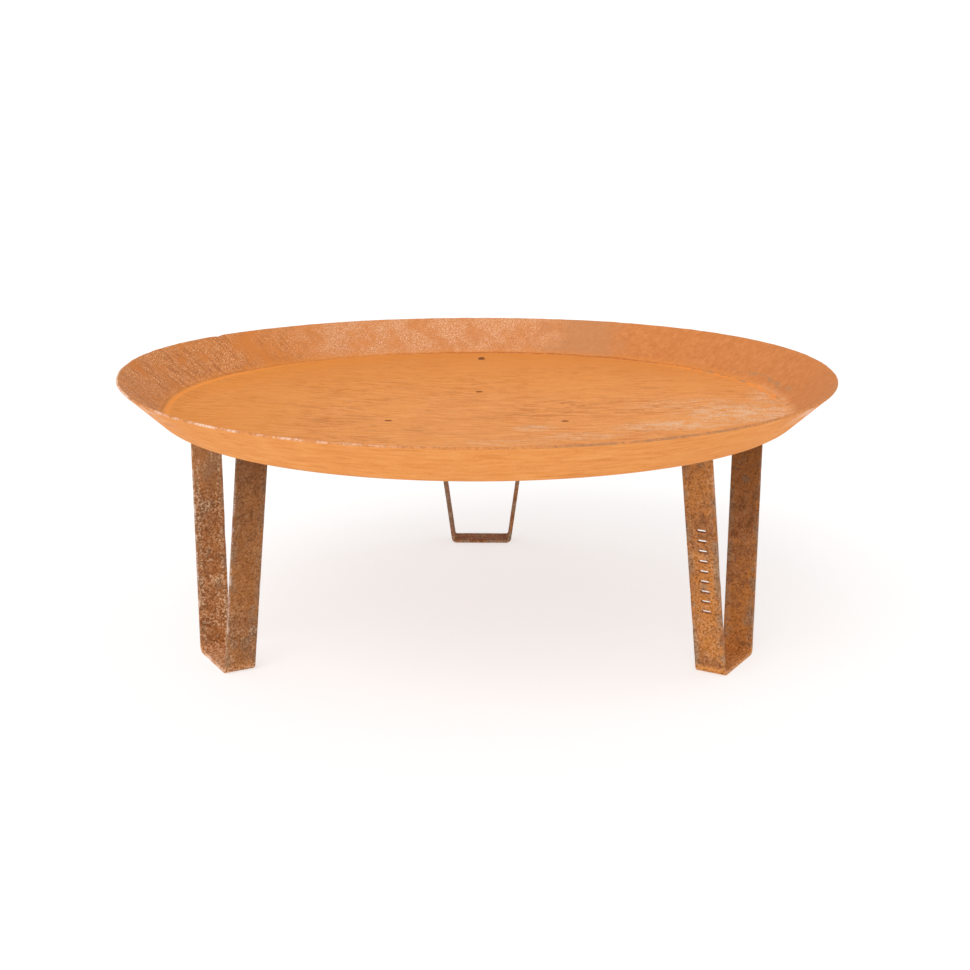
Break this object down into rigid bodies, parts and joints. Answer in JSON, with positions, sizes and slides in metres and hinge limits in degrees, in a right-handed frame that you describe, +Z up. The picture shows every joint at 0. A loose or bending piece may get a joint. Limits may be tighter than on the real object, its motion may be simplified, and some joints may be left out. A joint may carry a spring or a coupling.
{
  "type": "fire pit bowl on legs",
  "caption": "Low round fire bowl in rusted weathering steel, with a shallow flared wall and drain holes, standing on splayed legs bent from flat bar.",
  "frame": {"origin": "on the ground, under the centre of the bowl, at the bottom centre of the bounding box", "axes": "+Z up through the bowl's axis, +Y from the centre towards the rear leg, +X towards the right leg's side"},
  "size_m": [0.95, 0.95, 0.35],
  "materials": {
    "bowl_rust": "matte",
    "leg_rust": "matte",
    "fastener_rust": "matte"
  },
  "bodies": {
    "root": {"bowl": "bowl_rust", "leg_rear": "leg_rust", "leg_left": "leg_rust", "leg_right": "leg_rust", "bolt_rear": "fastener_rust", "bolt_left": "fastener_rust", "bolt_right": "fastener_rust", "washer_rear": "fastener_rust", "washer_left": "fastener_rust", "washer_right": "fastener_rust", "nut_rear": "fastener_rust", "nut_left": "fastener_rust", "nut_right": "fastener_rust"}
  },
  "joints": []
}
